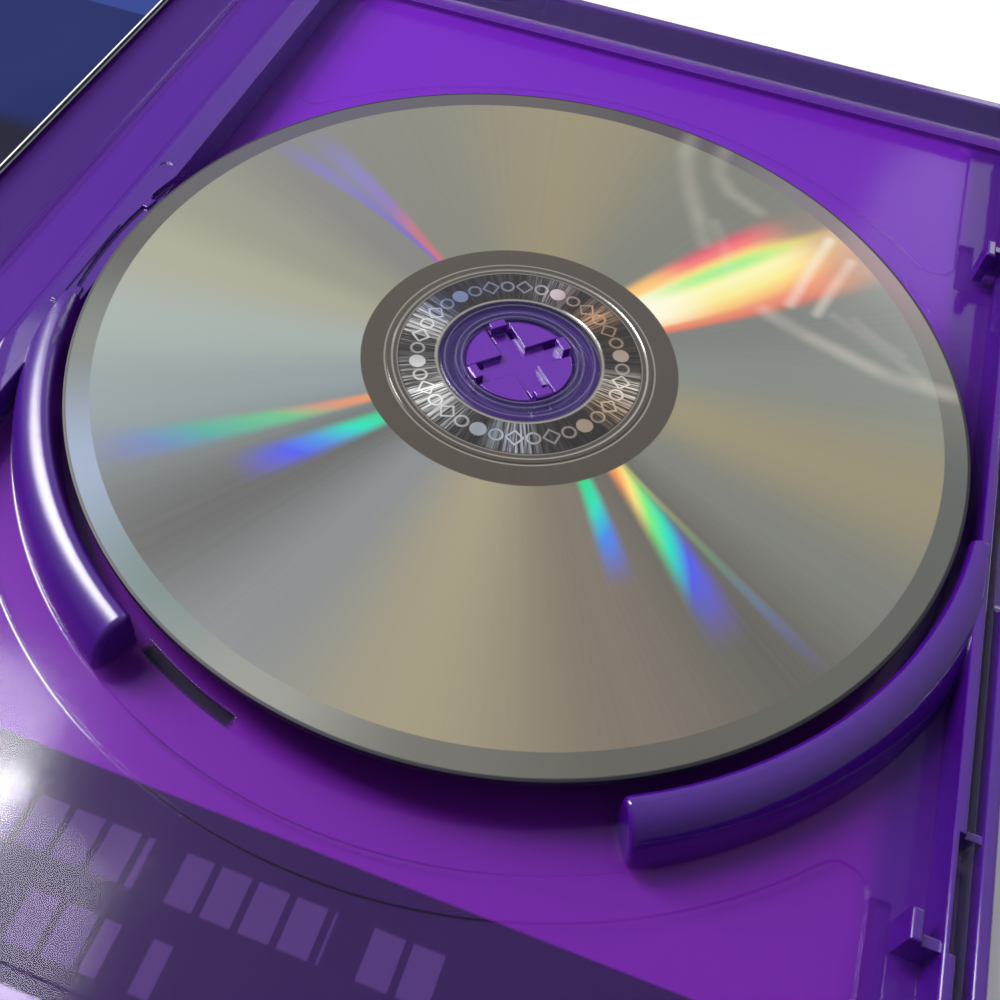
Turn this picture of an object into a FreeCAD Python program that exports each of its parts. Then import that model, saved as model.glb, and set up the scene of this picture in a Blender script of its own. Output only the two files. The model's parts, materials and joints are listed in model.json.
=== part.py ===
"""Game disc case, open flat: a one-shot moulding of tray, spine and cover with two thin hinges, a clear
film sleeve over a printed paper insert on its outside, a disc on the tray's hub and a booklet in the cover.

Millimetres.  X runs across the open case (tray on +X, cover on -X), Y towards the top edge, Z up.
The origin is under the middle of the spine, on the surface that the case lies on.
"""
import FreeCAD, Part
import math
import os

V = FreeCAD.Vector

# Case
CASE_HEIGHT = 190.0
CASE_THICKNESS = 14.0

# Sheets and walls
FILM = 0.12
FILM_MARGIN = 0.5
PAPER = 0.18
INSERT_END_MARGIN = 3.5
INSERT_EDGE_MARGIN = 3.0
PLATE = 1.10
SPINE_PLATE = 1.10
END_WALL = 2.0
OPENING_WALL = 1.6
RIM_GAP = 0.30
RIM_ROUND = 0.5

# Thin hinges
HINGE_WEB = 0.35
HINGE_GROOVE_R = 0.25
HINGE_RELIEF = 0.20
WALL_SETBACK = 1.4

# Disc and its place in the tray
DISC_R = 60.0
DISC_HOLE_R = 7.5
DISC_THICKNESS = 1.2
DISC_EDGE_ROUND = 0.2
STACK_RING_R = 17.3
STACK_RING_W = 0.8
STACK_RING_H = 0.12
DISC_ABOVE_CENTRE = 2.5
DISC_TO_STRIP = 1.0
DISC_TO_RIB = 2.3
DISC_TO_EDGE = 7.2

# Hub
HUB_SEAT_W = 5.9
HUB_MOAT_W = 2.1
HUB_MOAT_DEPTH = 1.2
HUB_WALL = 1.3
HUB_BUTTON_CLEAR = 0.3
HUB_PAD_ABOVE_SEAT = 0.8
HUB_CHANNEL_W = 3.6
HUB_CHANNEL_DEPTH = 0.9
HUB_FINGER_W = 2.3
HUB_FINGER_T = 1.1
HUB_SLIT_W = 0.6
HUB_SLIT_LENGTH = 2.6
HUB_LIP_H = 0.25
HUB_LIP_OVER = 0.15
HUB_LIP_CLEAR = 0.05

# Disc well, bumpers and floor steps, all about the disc's axis
WELL_CLEAR = 3.3
WELL_STEP = 0.15
SHELF_W = 4.7
POCKET_STEP = 0.40
POCKET_ROUND = 3.0
POCKET_INSET = 3.5
POCKET_END_GAP = 5.0
BUMPER_CLEAR = 1.4
BUMPER_W = 6.1
BUMPER_FOOT = 0.1
BUMPER_CREST = 1.2
BUMPER_WALL = 1.3
BUMPER_END_ROUND = 0.7
LEFT_BUMPER_FROM = -168.5
LEFT_BUMPER_TO = -117.5
RIGHT_BUMPER_FROM = -62.0
RIGHT_BUMPER_TO = -6.0
SLOT_CLEAR = 0.2
SLOT_W = 1.3
SLOT_DEPTH = 0.45
SLOT_FROM = -117.0
SLOT_TO = -104.0

# Raised strip beside the spine
STRIP_W = 4.5
STRIP_WALL = 1.2
STRIP_BELOW_DISC = 2.2
LIP_W = 1.2
LIP_H = 0.45
RECESS_DEPTH = 0.5
BAR_LENGTH = 17.5
BAR_W = 1.0
BAR_H = 0.25
BAR_FROM_LIP = 2.2
BAR_Y = -4.5
EJECTOR_R = 1.0
EJECTOR_DEPTH = 0.15
EJECTOR_Y = 19.0
NUB_ANGLE = 9.5
NUB_W = 2.2
NUB_OUT = 0.9

# Rib and latches along the opening edge
RIB_T = 1.4
RIB_ABOVE_RIM = 0.75
RIB_END_GAP = 0.8
LATCH_Y = 49.0
LATCH_GAP = 13.0
LATCH_SKIN = 0.55
LATCH_STOP_T = 1.0
LATCH_POST_T = 1.3
LATCH_POST_W = 3.5
LATCH_POST_INSET = 3.3
LATCH_POST_ABOVE_RIM = 0.9
LATCH_HOLE_W = 2.2
LATCH_HOLE_LENGTH = 11.0
TAB_T = 0.7
TAB_CLEAR = 2.0
TAB_ABOVE_RIM = 1.3
TAB_BARB = 0.3
SCOOP_W = 24.0
SCOOP_DEPTH = 2.6

# Spine's inside
SPINE_LAND_W = 6.4
SPINE_LAND_H = 0.25
SPINE_LAND_END = 4.0

# Booklet and its clips in the cover
BOOKLET_T = 1.3
BOOKLET_FROM_HINGE = 10.9
BOOKLET_END_ROOM = 2.0
BOOKLET_FOLD_ROUND = 0.6
CLIP_Y = 49.0
CLIP_W = 18.0
CLIP_T = 1.2
CLIP_REACH = 6.0
CLIP_GAP = 0.3
CLIP_TO_WALL = 6.2
CLIP_ABOVE_HUB = 1.1

# Derived heights
SKIN = FILM + PAPER
AXIS_Z = SKIN + HINGE_WEB + HINGE_GROOVE_R
FLOOR = SKIN + PLATE
SPINE_TOP = SKIN + SPINE_PLATE
RIM = (CASE_THICKNESS - RIM_GAP) / 2
CLIP_LOW = FLOOR + BOOKLET_T + CLIP_GAP
HUB_TOP = CASE_THICKNESS - CLIP_LOW - CLIP_T - CLIP_ABOVE_HUB
DISC_TOP = HUB_TOP - HUB_LIP_H - HUB_LIP_CLEAR
DISC_BOTTOM = DISC_TOP - DISC_THICKNESS
STRIP_TOP = DISC_TOP - STRIP_BELOW_DISC
RIB_TOP = RIM + RIB_ABOVE_RIM
WELL_FLOOR = FLOOR - WELL_STEP
POCKET_FLOOR = FLOOR - POCKET_STEP

# Derived places
HALF_H = CASE_HEIGHT / 2
WALL_IN_Y = HALF_H - END_WALL
REAR_X = CASE_THICKNESS / 2 - AXIS_Z
FRONT_X = -REAR_X
STRIP_LEFT = REAR_X + WALL_SETBACK
STRIP_X = STRIP_LEFT + STRIP_W
DISC_X = STRIP_X + DISC_TO_STRIP + DISC_R
DISC_Y = DISC_ABOVE_CENTRE
RIB_X = DISC_X + DISC_R + DISC_TO_RIB
OPEN_X = DISC_X + DISC_R + DISC_TO_EDGE
BOOKLET_RIGHT = FRONT_X - BOOKLET_FROM_HINGE
CLIP_LEG_X = -OPEN_X + OPENING_WALL + CLIP_TO_WALL
BOOKLET_LEFT = CLIP_LEG_X + CLIP_T + CLIP_GAP

# Derived radii
WELL_R = DISC_R + WELL_CLEAR
BUMPER_IN_R = DISC_R + BUMPER_CLEAR
BUMPER_OUT_R = BUMPER_IN_R + BUMPER_W
WELL_STEP_R = BUMPER_OUT_R - BUMPER_FOOT
POCKET_R = BUMPER_OUT_R + SHELF_W
HUB_BUTTON_R = DISC_HOLE_R - HUB_BUTTON_CLEAR
HUB_SEAT_IN_R = DISC_HOLE_R + HUB_MOAT_W
HUB_SEAT_R = HUB_SEAT_IN_R + HUB_SEAT_W

# Reach of cutting and clipping blocks, well past the case
FAR = 2 * CASE_HEIGHT


def block(x0, x1, y0, y1, z0, z1):
    """Box between two corners."""
    return Part.makeBox(x1 - x0, y1 - y0, z1 - z0, V(x0, y0, z0))


def beside(x0, x1):
    """All the space between two planes across X."""
    return block(x0, x1, -FAR, FAR, -FAR, FAR)


def drum(x, y, radius, z0, z1):
    """Upright cylinder."""
    return Part.makeCylinder(radius, z1 - z0, V(x, y, z0))


def bar_along_y(points, y0, y1):
    """Prism of an XZ outline, from y0 to y1."""
    corners = [V(x, y0, z) for x, z in points]
    face = Part.Face(Part.makePolygon(corners + corners[:1]))
    return face.extrude(V(0, y1 - y0, 0))


def round_edges(solid, radius, chosen):
    """Fillet the edges that the test picks out."""
    edges = [edge for edge in solid.Edges if chosen(edge)]
    return solid.makeFillet(radius, edges)


def on_top(solid):
    """Test for the edges in a solid's top face."""
    top = solid.BoundBox.ZMax
    return lambda edge: min(v.Z for v in edge.Vertexes) > top - 1e-6


def upright(edge):
    """Test for edges that run along Z."""
    box = edge.BoundBox
    return box.ZLength > 1e-6 and box.XLength < 1e-6 and box.YLength < 1e-6


def on_radius(degrees):
    """Test for edges above the floor in the upright plane through the disc's axis at an angle."""
    turn = math.radians(degrees)
    across = V(-math.sin(turn), math.cos(turn), 0)
    centre = V(DISC_X, DISC_Y, 0)
    return lambda edge: edge.BoundBox.ZMax > FLOOR + 1e-6 and all(
        abs((point - centre).dot(across)) < 1e-4 for point in edge.discretize(3))


def rounded_wall(x0, x1, y0, y1, z0, z1, radius):
    """Wall whose top edges are rounded."""
    wall = block(x0, x1, y0, y1, z0, z1)
    return round_edges(wall, radius, on_top(wall))


def about_disc(shape, degrees=0.0):
    """Put a shape made about the Z axis onto the disc's axis, turned by an angle."""
    shape.rotate(V(0, 0, 0), V(0, 0, 1), degrees)
    shape.translate(V(DISC_X, DISC_Y, 0))
    return shape


def swept(face, start, end):
    """Revolve an RZ face about the disc's axis between two angles."""
    face.rotate(V(0, 0, 0), V(0, 0, 1), start)
    solid = face.revolve(V(0, 0, 0), V(0, 0, 1), end - start)
    return about_disc(solid)


def annular_slot(r_in, r_out, start, end, z0, z1):
    """Slot between two radii with round ends."""
    middle = (r_in + r_out) / 2
    outline = [V(r_in, 0, z0), V(r_out, 0, z0), V(r_out, 0, z1), V(r_in, 0, z1)]
    slot = swept(Part.Face(Part.makePolygon(outline + outline[:1])), start, end)
    for angle in (start, end):
        turn = math.radians(angle)
        x = DISC_X + middle * math.cos(turn)
        y = DISC_Y + middle * math.sin(turn)
        slot = slot.fuse(drum(x, y, (r_out - r_in) / 2, z0, z1))
    return slot.removeSplitter()


def hinged_panel(near_x, far_x, plate):
    """Flat panel from a hinge axis to its far edge, with half of the thin web and its bevel."""
    side = 1 if far_x > near_x else -1
    top = SKIN + plate
    outline = [
        (near_x, SKIN),
        (far_x, SKIN),
        (far_x, top),
        (near_x + side * (top - AXIS_Z + HINGE_RELIEF), top),
        (near_x, AXIS_Z - HINGE_RELIEF),
    ]
    groove = Part.makeCylinder(HINGE_GROOVE_R, 2 * FAR, V(near_x, -FAR, AXIS_Z), V(0, 1, 0))
    return bar_along_y(outline, -HALF_H, HALF_H).cut(groove)


def end_walls(x0, x1):
    """Top and bottom walls of one half."""
    return [rounded_wall(x0, x1, y, y + END_WALL, SKIN, RIM, RIM_ROUND) for y in (-HALF_H, WALL_IN_Y)]


def opening_wall(x0):
    """Wall along the opening edge, with a round-ended dip where a thumb pulls the halves apart."""
    x1 = x0 + OPENING_WALL
    low = RIM - SCOOP_DEPTH
    scoop = block(x0 - 1, x1 + 1, -SCOOP_W / 2, SCOOP_W / 2, low, RIM + 1)
    scoop = round_edges(scoop, SCOOP_DEPTH * 0.9, lambda edge: edge.BoundBox.XLength > OPENING_WALL
                        and edge.BoundBox.ZMax < low + 1e-6)
    return rounded_wall(x0, x1, -HALF_H, HALF_H, SKIN, RIM, RIM_ROUND).cut(scoop)


def bumper_face(inset):
    """Section of a bumper, or of the hollow under it: straight inside, round crest, quarter-ellipse flank."""
    base = SKIN if inset else WELL_FLOOR - PLATE / 3
    crest = DISC_TOP - inset
    r_in = BUMPER_IN_R + inset
    r_out = BUMPER_OUT_R - inset
    r_crest = r_in + BUMPER_CREST * (r_out - r_in) / BUMPER_W
    shoulder = crest - (r_crest - r_in)
    foot = V(r_out, 0, FLOOR)
    turn = math.sqrt(0.5)
    flank = Part.BezierCurve()
    flank.setPoles([V(r_crest, 0, crest), V(r_out, 0, crest), foot])
    flank.setWeight(2, turn)
    round_mid = V(r_crest - (r_crest - r_in) * turn, 0, shoulder + (crest - shoulder) * turn)
    edges = [
        Part.makeLine(V(r_in, 0, base), V(r_in, 0, shoulder)),
        Part.Arc(V(r_in, 0, shoulder), round_mid, V(r_crest, 0, crest)).toShape(),
        flank.toShape(),
        Part.makeLine(foot, V(r_out, 0, base)),
        Part.makeLine(V(r_out, 0, base), V(r_in, 0, base)),
    ]
    return Part.Face(Part.Wire(edges))


def bumpers():
    """The two raised arcs beside the disc, which run into strip and rib, and the hollows under them."""
    wall_turn = math.degrees(BUMPER_WALL / BUMPER_IN_R)
    core_r = BUMPER_OUT_R - BUMPER_WALL
    strip_turn = math.degrees(math.acos((DISC_X - STRIP_X - BUMPER_WALL) / core_r))
    rib_turn = math.degrees(math.acos((RIB_X - BUMPER_WALL - DISC_X) / core_r))
    left = swept(bumper_face(0.0), LEFT_BUMPER_FROM, LEFT_BUMPER_TO).common(beside(STRIP_X - LIP_W, FAR))
    right = swept(bumper_face(0.0), RIGHT_BUMPER_FROM, RIGHT_BUMPER_TO).common(beside(-FAR, RIB_X + RIB_T / 2))
    ridges = [
        round_edges(left, BUMPER_END_ROUND, on_radius(LEFT_BUMPER_TO)),
        round_edges(right, BUMPER_END_ROUND, on_radius(RIGHT_BUMPER_FROM)),
    ]
    cores = [
        swept(bumper_face(BUMPER_WALL), strip_turn - 180, LEFT_BUMPER_TO - wall_turn),
        swept(bumper_face(BUMPER_WALL), RIGHT_BUMPER_FROM + wall_turn, -rib_turn),
    ]
    return ridges, cores


def tray_strip():
    """Raised strip beside the spine, its lip, mould bar, recess for the disc's edge and the hollow under it."""
    strip = block(STRIP_LEFT, STRIP_X, -WALL_IN_Y, WALL_IN_Y, SKIN, STRIP_TOP)
    lip_left = STRIP_X - LIP_W
    lip = block(lip_left, STRIP_X, -WALL_IN_Y, WALL_IN_Y, STRIP_TOP - STRIP_WALL, STRIP_TOP + LIP_H)
    bar_x = lip_left - BAR_FROM_LIP
    bar_y = DISC_Y + BAR_Y - BAR_LENGTH / 2
    bar = rounded_wall(bar_x, bar_x + BAR_W, bar_y, bar_y + BAR_LENGTH, STRIP_TOP - STRIP_WALL / 2,
                       STRIP_TOP + BAR_H, BAR_H / 2)
    mark = drum(bar_x + BAR_W / 2, DISC_Y + EJECTOR_Y, EJECTOR_R, STRIP_TOP - EJECTOR_DEPTH, STRIP_TOP + 1)
    recess_floor = STRIP_TOP - RECESS_DEPTH
    recess = drum(DISC_X, DISC_Y, WELL_R, recess_floor, DISC_TOP + 1)
    strip = strip.fuse([lip, bar]).cut([mark, recess])
    core = block(STRIP_LEFT + STRIP_WALL, STRIP_X - STRIP_WALL, -WALL_IN_Y + STRIP_WALL,
                 WALL_IN_Y - STRIP_WALL, SKIN, STRIP_TOP - STRIP_WALL)
    core = core.cut(drum(DISC_X, DISC_Y, WELL_R + STRIP_WALL, recess_floor - STRIP_WALL, DISC_TOP + 1))
    return strip, core


def well_nubs():
    """Two small pads on the strip's round wall that keep the disc's edge off it."""
    nubs = []
    for angle in (180 - NUB_ANGLE, 180 + NUB_ANGLE):
        nub = rounded_wall(WELL_R - NUB_OUT, WELL_R + STRIP_WALL / 2, -NUB_W / 2, NUB_W / 2,
                           WELL_FLOOR - PLATE / 3, STRIP_TOP, NUB_OUT / 3)
        nubs.append(about_disc(nub, angle))
    return nubs


def pockets():
    """Shallow steps in the floor above and below the round shelf, cut out of the plate."""
    reach = WALL_IN_Y - POCKET_END_GAP
    half = DISC_R - POCKET_INSET
    sheet = block(DISC_X - half, DISC_X + half, -reach, reach, POCKET_FLOOR, FLOOR + 1)
    sheet = sheet.cut(drum(DISC_X, DISC_Y, POCKET_R, SKIN, FLOOR + 2))
    return round_edges(sheet, POCKET_ROUND, upright)


def hub():
    """Seat ring, button with four pads, and four spring fingers between slits."""
    moat = DISC_BOTTOM - HUB_MOAT_DEPTH
    under = moat - HUB_WALL
    pad_top = DISC_BOTTOM + HUB_PAD_ABOVE_SEAT
    channel_floor = pad_top - HUB_CHANNEL_DEPTH
    boss = drum(0, 0, HUB_SEAT_R, FLOOR - PLATE / 2, DISC_BOTTOM)
    boss = round_edges(boss, RIM_ROUND, on_top(boss))
    boss = boss.cut(drum(0, 0, HUB_SEAT_IN_R, moat, DISC_TOP))
    button = drum(0, 0, HUB_BUTTON_R, under, pad_top)
    for turn in (45, 135):
        channel = block(-DISC_R, DISC_R, -HUB_CHANNEL_W / 2, HUB_CHANNEL_W / 2, channel_floor, HUB_TOP)
        channel.rotate(V(0, 0, 0), V(0, 0, 1), turn)
        button = button.cut(channel)
    body = boss.fuse(button).cut(drum(0, 0, HUB_SEAT_R - HUB_WALL, SKIN, under))
    for turn in (45, 135, 225, 315):
        body = body.cut(hub_slits(turn, under)).fuse(hub_finger(turn, under))
    return about_disc(body.removeSplitter())


def hub_finger(turn, under):
    """Spring finger: an upright wall with a small lip over the disc's edge."""
    half = HUB_FINGER_W / 2
    inside = HUB_BUTTON_R - HUB_FINGER_T
    lip_low = DISC_TOP + HUB_LIP_CLEAR
    stem = block(inside, DISC_R, -half, half, under, lip_low)
    stem = stem.common(drum(0, 0, HUB_BUTTON_R, under, lip_low))
    lip = block(inside, DISC_R, -half, half, lip_low, HUB_TOP)
    lip = lip.common(Part.makeCone(DISC_HOLE_R + HUB_LIP_OVER, HUB_BUTTON_R, HUB_LIP_H, V(0, 0, lip_low)))
    finger = stem.fuse(lip)
    finger.rotate(V(0, 0, 0), V(0, 0, 1), turn)
    return finger


def hub_slits(turn, under):
    """Through slits on both sides of a spring finger."""
    half = HUB_FINGER_W / 2
    inside = HUB_BUTTON_R - HUB_SLIT_LENGTH
    outside = HUB_BUTTON_R + HUB_SLIT_W
    slits = block(inside, outside, half, half + HUB_SLIT_W, under - 1, HUB_TOP)
    slits = slits.fuse(block(inside, outside, -half - HUB_SLIT_W, -half, under - 1, HUB_TOP))
    slits.rotate(V(0, 0, 0), V(0, 0, 1), turn)
    return slits


def latch_span(side):
    """Ends of a latch socket along the rib, the one nearer the middle of the case first."""
    return side * (LATCH_Y - LATCH_GAP / 2), side * (LATCH_Y + LATCH_GAP / 2)


def latch_socket(side):
    """Socket in the back of the rib, which leaves a thin skin on its inside."""
    y0, y1 = sorted(latch_span(side))
    return block(RIB_X + LATCH_SKIN, RIB_X + RIB_T + 1, y0, y1, FLOOR, RIB_TOP + 1)


def latch_hole(side):
    """Hole in the floor beside a latch post."""
    far = latch_span(side)[1]
    post_x = RIB_X - LATCH_POST_INSET
    y0 = far - LATCH_HOLE_LENGTH / 2
    return block(post_x - LATCH_HOLE_W, post_x, y0, y0 + LATCH_HOLE_LENGTH, SKIN, FLOOR + 1)


def latch_walls(side):
    """Stop across the channel at the near end of a socket, and the post in front of its far end."""
    near, far = latch_span(side)
    y0, y1 = sorted((near, near - side * LATCH_STOP_T))
    stop = block(RIB_X + LATCH_SKIN, OPEN_X - OPENING_WALL / 2, y0, y1, SKIN, RIM - RIM_ROUND)
    post_x = RIB_X - LATCH_POST_INSET
    y0, y1 = sorted((far, far - side * LATCH_POST_W))
    leg = rounded_wall(post_x, post_x + LATCH_POST_T, y0, y1, SKIN, RIM + LATCH_POST_ABOVE_RIM, LATCH_POST_T / 4)
    y0, y1 = sorted((far, far - side * LATCH_POST_T))
    back = block(post_x + LATCH_POST_T / 2, RIB_X + LATCH_SKIN / 2, y0, y1, SKIN, RIM)
    return [stop, leg, back]


def disc_tray():
    """Rear half of the moulding."""
    rib_end = WALL_IN_Y - RIB_END_GAP
    strip, strip_core = tray_strip()
    ridges, cores = bumpers()
    rib = rounded_wall(RIB_X, RIB_X + RIB_T, -rib_end, rib_end, SKIN, RIB_TOP, RIM_ROUND)
    rib = rib.cut([latch_socket(-1), latch_socket(1)])
    walls = end_walls(STRIP_LEFT, OPEN_X) + [opening_wall(OPEN_X - OPENING_WALL), rib]
    well_floor = drum(DISC_X, DISC_Y, WELL_STEP_R, WELL_FLOOR, FLOOR + 1)
    well_floor = well_floor.common(beside(DISC_X - WELL_R, RIB_X))
    plate = hinged_panel(REAR_X, OPEN_X, PLATE).cut([pockets(), well_floor, latch_hole(-1), latch_hole(1)])
    tray = plate.fuse(walls + latch_walls(-1) + latch_walls(1) + [strip] + ridges + well_nubs() + [hub()])
    slot = annular_slot(DISC_R + SLOT_CLEAR, DISC_R + SLOT_CLEAR + SLOT_W, SLOT_FROM, SLOT_TO,
                        WELL_FLOOR - SLOT_DEPTH, FLOOR + 1)
    under_hub = drum(DISC_X, DISC_Y, HUB_SEAT_R - HUB_WALL, 0, FLOOR + 1)
    return tray.cut([strip_core, slot, under_hub] + cores).removeSplitter()


def spine_panel():
    """Middle of the moulding, between the two hinges."""
    half = hinged_panel(REAR_X, 0.0, SPINE_PLATE)
    panel = half.fuse(half.mirror(V(0, 0, 0), V(1, 0, 0)))
    reach = HALF_H - SPINE_LAND_END
    land = rounded_wall(-SPINE_LAND_W / 2, SPINE_LAND_W / 2, -reach, reach, SKIN, SPINE_TOP + SPINE_LAND_H,
                        SPINE_LAND_H * 0.8)
    return panel.fuse(land).removeSplitter()


def booklet_clip(y):
    """Half-round clip over the booklet's fold, on a short upright."""
    end = CLIP_LEG_X + CLIP_T + CLIP_REACH
    top = CLIP_LOW + CLIP_T
    leg = block(CLIP_LEG_X, CLIP_LEG_X + CLIP_T, y - CLIP_W / 2, y + CLIP_W / 2, SKIN, top)
    lip = Part.makeCylinder(CLIP_W / 2, CLIP_T, V(CLIP_LEG_X, y, CLIP_LOW))
    lip = lip.common(block(CLIP_LEG_X, end, y - CLIP_W, y + CLIP_W, CLIP_LOW, top))
    return leg.fuse(round_edges(lip, CLIP_T / 4, on_top(lip)))


def latch_tab(y):
    """Tab of the cover that snaps into a socket behind the tray's rib."""
    middle = -(RIB_X + (LATCH_SKIN + RIB_T) / 2)
    x0 = middle - TAB_T / 2
    x1 = middle + TAB_T / 2
    top = RIM + TAB_ABOVE_RIM
    outline = [
        (x0, SKIN),
        (x1, SKIN),
        (x1, top),
        (x0, top),
        (x0 - TAB_BARB, top - TAB_BARB),
        (x0, top - 2 * TAB_BARB),
    ]
    half = LATCH_GAP / 2 - TAB_CLEAR
    return bar_along_y(outline, y - half, y + half)


def front_cover():
    """Front half of the moulding."""
    plate = hinged_panel(FRONT_X, -OPEN_X, PLATE)
    walls = end_walls(-OPEN_X, FRONT_X - WALL_SETBACK) + [opening_wall(-OPEN_X)]
    clips = [booklet_clip(side * CLIP_Y) for side in (-1, 1)]
    tabs = [latch_tab(side * LATCH_Y) for side in (-1, 1)]
    return plate.fuse(walls + clips + tabs).removeSplitter()


def disc():
    """Disc with a stacking ring on the side that faces up."""
    blank = drum(0, 0, DISC_R, DISC_BOTTOM, DISC_TOP)
    blank = round_edges(blank, DISC_EDGE_ROUND, lambda edge: edge.BoundBox.ZLength < 1e-6)
    ring = drum(0, 0, STACK_RING_R + STACK_RING_W, DISC_TOP - DISC_THICKNESS / 2, DISC_TOP + STACK_RING_H)
    ring = ring.cut(drum(0, 0, STACK_RING_R, DISC_BOTTOM, DISC_TOP + 1))
    body = blank.fuse(ring).cut(drum(0, 0, DISC_HOLE_R, DISC_BOTTOM - 1, DISC_TOP + 1))
    return about_disc(body.removeSplitter())


def booklet():
    """Stapled booklet, its fold towards the clips."""
    half = WALL_IN_Y - BOOKLET_END_ROOM
    body = block(BOOKLET_LEFT, BOOKLET_RIGHT, -half, half, FLOOR, FLOOR + BOOKLET_T)
    return round_edges(body, BOOKLET_FOLD_ROUND, lambda edge: edge.BoundBox.XMax < BOOKLET_LEFT + 1e-6
                       and edge.BoundBox.YLength > 1e-6)


def sheets():
    """Film and paper insert of each panel, meeting on the hinge axes."""
    film_y = HALF_H - FILM_MARGIN
    insert_x = OPEN_X - INSERT_EDGE_MARGIN
    insert_y = HALF_H - INSERT_END_MARGIN
    return {
        "rear_film": block(REAR_X, OPEN_X, -film_y, film_y, 0, FILM),
        "spine_film": block(FRONT_X, REAR_X, -film_y, film_y, 0, FILM),
        "front_film": block(-OPEN_X, FRONT_X, -film_y, film_y, 0, FILM),
        "rear_insert": block(REAR_X, insert_x, -insert_y, insert_y, FILM, SKIN),
        "spine_insert": block(FRONT_X, REAR_X, -insert_y, insert_y, FILM, SKIN),
        "front_insert": block(-insert_x, FRONT_X, -insert_y, insert_y, FILM, SKIN),
    }


def main():
    nodes = {
        "disc_tray": disc_tray(),
        "spine_panel": spine_panel(),
        "front_cover": front_cover(),
        "disc": disc(),
        "booklet": booklet(),
    }
    nodes.update(sheets())
    os.makedirs("parts", exist_ok=True)
    for name, shape in nodes.items():
        print(name, "valid", shape.isValid(), "solids", len(shape.Solids), "volume", round(shape.Volume, 1))
        shape.exportStep("parts/" + name + ".step")


main()
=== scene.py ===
"""Game disc case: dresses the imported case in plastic, disc, booklet and sleeve, and sets a small studio."""
import json
import math

import bmesh
import bpy
from bpy.props import FloatProperty, FloatVectorProperty, IntProperty, PointerProperty
from bpy.types import Operator, Panel, PropertyGroup
from mathutils import Matrix, Vector

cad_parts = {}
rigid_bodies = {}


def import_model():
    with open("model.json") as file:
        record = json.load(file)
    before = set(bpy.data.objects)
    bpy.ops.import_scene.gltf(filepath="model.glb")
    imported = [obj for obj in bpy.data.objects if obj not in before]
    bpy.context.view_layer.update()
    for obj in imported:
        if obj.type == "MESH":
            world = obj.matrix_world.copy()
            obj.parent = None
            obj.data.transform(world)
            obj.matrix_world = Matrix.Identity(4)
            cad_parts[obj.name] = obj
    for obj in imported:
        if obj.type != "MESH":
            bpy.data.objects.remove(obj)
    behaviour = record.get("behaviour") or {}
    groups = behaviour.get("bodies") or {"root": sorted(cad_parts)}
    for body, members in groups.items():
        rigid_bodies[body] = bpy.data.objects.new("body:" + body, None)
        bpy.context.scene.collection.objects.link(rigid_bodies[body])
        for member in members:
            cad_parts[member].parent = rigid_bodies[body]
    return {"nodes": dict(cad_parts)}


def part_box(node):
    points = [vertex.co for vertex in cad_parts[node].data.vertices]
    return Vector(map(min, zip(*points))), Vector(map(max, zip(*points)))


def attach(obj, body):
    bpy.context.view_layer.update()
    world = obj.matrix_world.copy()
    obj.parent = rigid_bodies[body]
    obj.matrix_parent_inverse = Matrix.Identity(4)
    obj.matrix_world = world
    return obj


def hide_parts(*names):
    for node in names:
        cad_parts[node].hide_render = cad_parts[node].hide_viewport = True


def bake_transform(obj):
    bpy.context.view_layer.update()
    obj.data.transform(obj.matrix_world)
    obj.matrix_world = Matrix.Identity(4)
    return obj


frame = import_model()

bl_info = {
    "name": "Game Disc Case",
    "version": (1, 0, 0),
    "blender": (4, 5, 0),
    "location": "View3D > Sidebar > Disc Case",
    "description": "Dresses a hinged disc case with plastic, disc, booklet, insert and film",
    "category": "Object",
}

STRAYS = [thing for thing in bpy.data.objects if thing.type in {"CAMERA", "LIGHT"} or thing.name == "Cube"]
for stray in STRAYS:
    bpy.data.objects.remove(stray)

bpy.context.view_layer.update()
MM = 0.001


def shade(red, green, blue, alpha=1.0):
    """Linear colour of a screen colour given in 0 to 255 steps."""
    parts = [part / 255 for part in (red, green, blue)]
    linear = [part / 12.92 if part <= 0.04045 else ((part + 0.055) / 1.055) ** 2.4 for part in parts]
    return (*linear, alpha)


DISC_LOW, DISC_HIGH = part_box("disc")
DISC_CENTRE = Vector(((DISC_LOW.x + DISC_HIGH.x) / 2, (DISC_LOW.y + DISC_HIGH.y) / 2, 0))
STACK_RING = 0.12 * MM
DISC_TOP = DISC_HIGH.z - STACK_RING
BOOKLET_LOW, BOOKLET_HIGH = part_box("booklet")
INSERT_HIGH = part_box("rear_insert")[1] / MM


class MouldingSettings(PropertyGroup):
    """Purple plastic of tray, spine and cover."""

    colour: FloatVectorProperty(name="Plastic", description="Colour of the plastic", subtype="COLOR", size=4,
                                min=0, max=1, default=shade(106, 20, 174))
    deep: FloatVectorProperty(name="Deep plastic", description="Colour where the plastic is thick",
                              subtype="COLOR", size=4, min=0, max=1, default=shade(57, 12, 122))
    floor: FloatProperty(name="Floor", description="Share of light that the thin floor stops",
                         subtype="FACTOR", min=0, max=1, default=0.20)
    walls: FloatProperty(name="Walls", description="Share of light that a wall or rib stops",
                         subtype="FACTOR", min=0, max=1, default=0.85)
    edge: FloatProperty(name="Edge round", description="Radius that the moulded edges look rounded by",
                        unit="LENGTH", min=0, default=0.35 * MM)


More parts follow.
